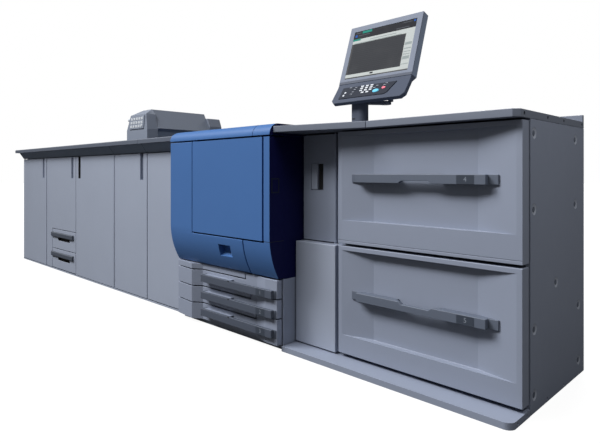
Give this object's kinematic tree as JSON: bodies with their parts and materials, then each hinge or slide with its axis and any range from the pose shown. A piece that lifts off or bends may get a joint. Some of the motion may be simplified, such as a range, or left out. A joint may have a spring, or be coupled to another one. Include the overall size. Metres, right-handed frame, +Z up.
{
  "type": "digital production printing press",
  "caption": "Long digital printing press line: paper feeder with drawers, blue print engine with trays, sheet inserter and finisher cabinets under one worktop, tilting display.",
  "frame": {"origin": "middle of the line's bounding box, on the floor", "axes": "+X along the line to the feeder end, +Z up, the operator's side faces -Y"},
  "size_m": [4.765, 0.86, 1.5166],
  "materials": {
    "pale_shell": "satin blue-grey paint, fine texture",
    "grey_shell": "satin mid-grey paint, fine texture",
    "blue_shell": "satin moulded blue cover",
    "navy_shell": "dark navy side panel",
    "worktop": "moulded grey worktop",
    "handle": "dark grey moulded handle",
    "fascia": "dark band under the worktop",
    "dark_steel": "black painted frame steel",
    "dark_plastic": "black moulded stand",
    "screen_glass": "dark glossy display"
  },
  "bodies": {
    "frame": {"feeder_plinth": "grey_shell", "feeder_floor": "dark_steel", "feeder_side_panel": "grey_shell", "feeder_column": "grey_shell", "feeder_back_panel": "grey_shell", "drawer_runners": "dark_steel", "feeder_worktop": "worktop", "flared_worktop": "worktop", "column_lower_cover": "grey_shell", "engine_base": "dark_steel", "tray_bay_walls": "grey_shell", "tray_runners": "dark_steel", "tray_filler_plate": "pale_shell", "engine_body": "navy_shell", "engine_cap": "blue_shell", "engine_right_cover": "blue_shell", "base_frame": "dark_steel", "relay_body": "pale_shell", "relay_front_panel": "pale_shell", "inserter_cabinet": "pale_shell", "stacker_body": "pale_shell", "finisher_body": "pale_shell", "small_drawer_runners": "dark_steel", "front_fascia": "fascia", "left_worktops": "worktop", "inserter_housing": "grey_shell", "inserter_keypad": "pale_shell", "inserter_rear_box": "grey_shell", "monitor_post": "dark_plastic"},
    "upper_drawer": {"upper_drawer": "pale_shell", "upper_drawer_handle": "handle"},
    "lower_drawer": {"lower_drawer": "pale_shell", "lower_drawer_handle": "handle"},
    "column_door": {"column_door": "grey_shell"},
    "toner_door": {"toner_door": "blue_shell"},
    "lower_front_door": {"lower_front_door": "blue_shell"},
    "tray_1": {"tray_1": "pale_shell", "tray_1_handle": "handle"},
    "tray_2": {"tray_2": "pale_shell", "tray_2_handle": "handle"},
    "tray_3": {"tray_3": "pale_shell", "tray_3_handle": "handle"},
    "finisher_left_door": {"finisher_left_door": "pale_shell"},
    "finisher_right_door": {"finisher_right_door": "pale_shell"},
    "stacker_door": {"stacker_door": "pale_shell"},
    "inserter_door": {"inserter_door": "pale_shell", "inserter_door_grip": "handle"},
    "upper_small_drawer": {"upper_small_drawer": "pale_shell", "upper_small_handle": "handle"},
    "lower_small_drawer": {"lower_small_drawer": "pale_shell", "lower_small_handle": "handle"},
    "monitor_arm": {"monitor_neck": "dark_plastic"},
    "display": {"display_housing": "pale_shell", "display_screen": "screen_glass", "key_shelf": "grey_shell"}
  },
  "joints": [
    {"name": "upper_drawer_slide", "type": "slide", "parent": "frame", "child": "upper_drawer", "axis": [0, -1, 0], "range_m": [0, 0.45]},
    {"name": "lower_drawer_slide", "type": "slide", "parent": "frame", "child": "lower_drawer", "axis": [0, -1, 0], "range_m": [0, 0.45]},
    {"name": "tray_1_slide", "type": "slide", "parent": "frame", "child": "tray_1", "axis": [0, -1, 0], "range_m": [0, 0.45]},
    {"name": "tray_2_slide", "type": "slide", "parent": "frame", "child": "tray_2", "axis": [0, -1, 0], "range_m": [0, 0.45]},
    {"name": "tray_3_slide", "type": "slide", "parent": "frame", "child": "tray_3", "axis": [0, -1, 0], "range_m": [0, 0.45]},
    {"name": "upper_small_drawer_slide", "type": "slide", "parent": "frame", "child": "upper_small_drawer", "axis": [0, -1, 0], "range_m": [0, 0.3]},
    {"name": "lower_small_drawer_slide", "type": "slide", "parent": "frame", "child": "lower_small_drawer", "axis": [0, -1, 0], "range_m": [0, 0.3]},
    {"name": "column_door_hinge", "type": "hinge", "parent": "frame", "child": "column_door", "pos_m": [1.5125, -0.207, 0.75], "axis": [0, 0, 1], "range_deg": [0, 90]},
    {"name": "toner_door_hinge", "type": "hinge", "parent": "frame", "child": "toner_door", "pos_m": [0.6975, -0.422, 0.75], "axis": [0, 0, -1], "range_deg": [0, 90]},
    {"name": "lower_front_door_hinge", "type": "hinge", "parent": "frame", "child": "lower_front_door", "pos_m": [0.4785, -0.362, 0.65], "axis": [0, 0, -1], "range_deg": [0, 90]},
    {"name": "finisher_left_door_hinge", "type": "hinge", "parent": "frame", "child": "finisher_left_door", "pos_m": [-2.3335, -0.313, 0.5], "axis": [0, 0, -1], "range_deg": [0, 90]},
    {"name": "finisher_right_door_hinge", "type": "hinge", "parent": "frame", "child": "finisher_right_door", "pos_m": [-1.7355, -0.313, 0.5], "axis": [0, 0, -1], "range_deg": [0, 90]},
    {"name": "stacker_door_hinge", "type": "hinge", "parent": "frame", "child": "stacker_door", "pos_m": [-0.4605, -0.313, 0.5], "axis": [0, 0, 1], "range_deg": [0, 90]},
    {"name": "inserter_door_hinge", "type": "hinge", "parent": "frame", "child": "inserter_door", "pos_m": [-0.4365, -0.313, 0.5], "axis": [0, 0, -1], "range_deg": [0, 90]},
    {"name": "monitor_swivel", "type": "hinge", "parent": "frame", "child": "monitor_arm", "pos_m": [1.6155, -0.16, 1.14], "axis": [0, 0, 1], "range_deg": [-30, 30]},
    {"name": "display_tilt", "type": "hinge", "parent": "monitor_arm", "child": "display", "pos_m": [1.6885, -0.0682, 1.31928], "axis": [-1, 0, 0], "range_deg": [0, 20]}
  ]
}
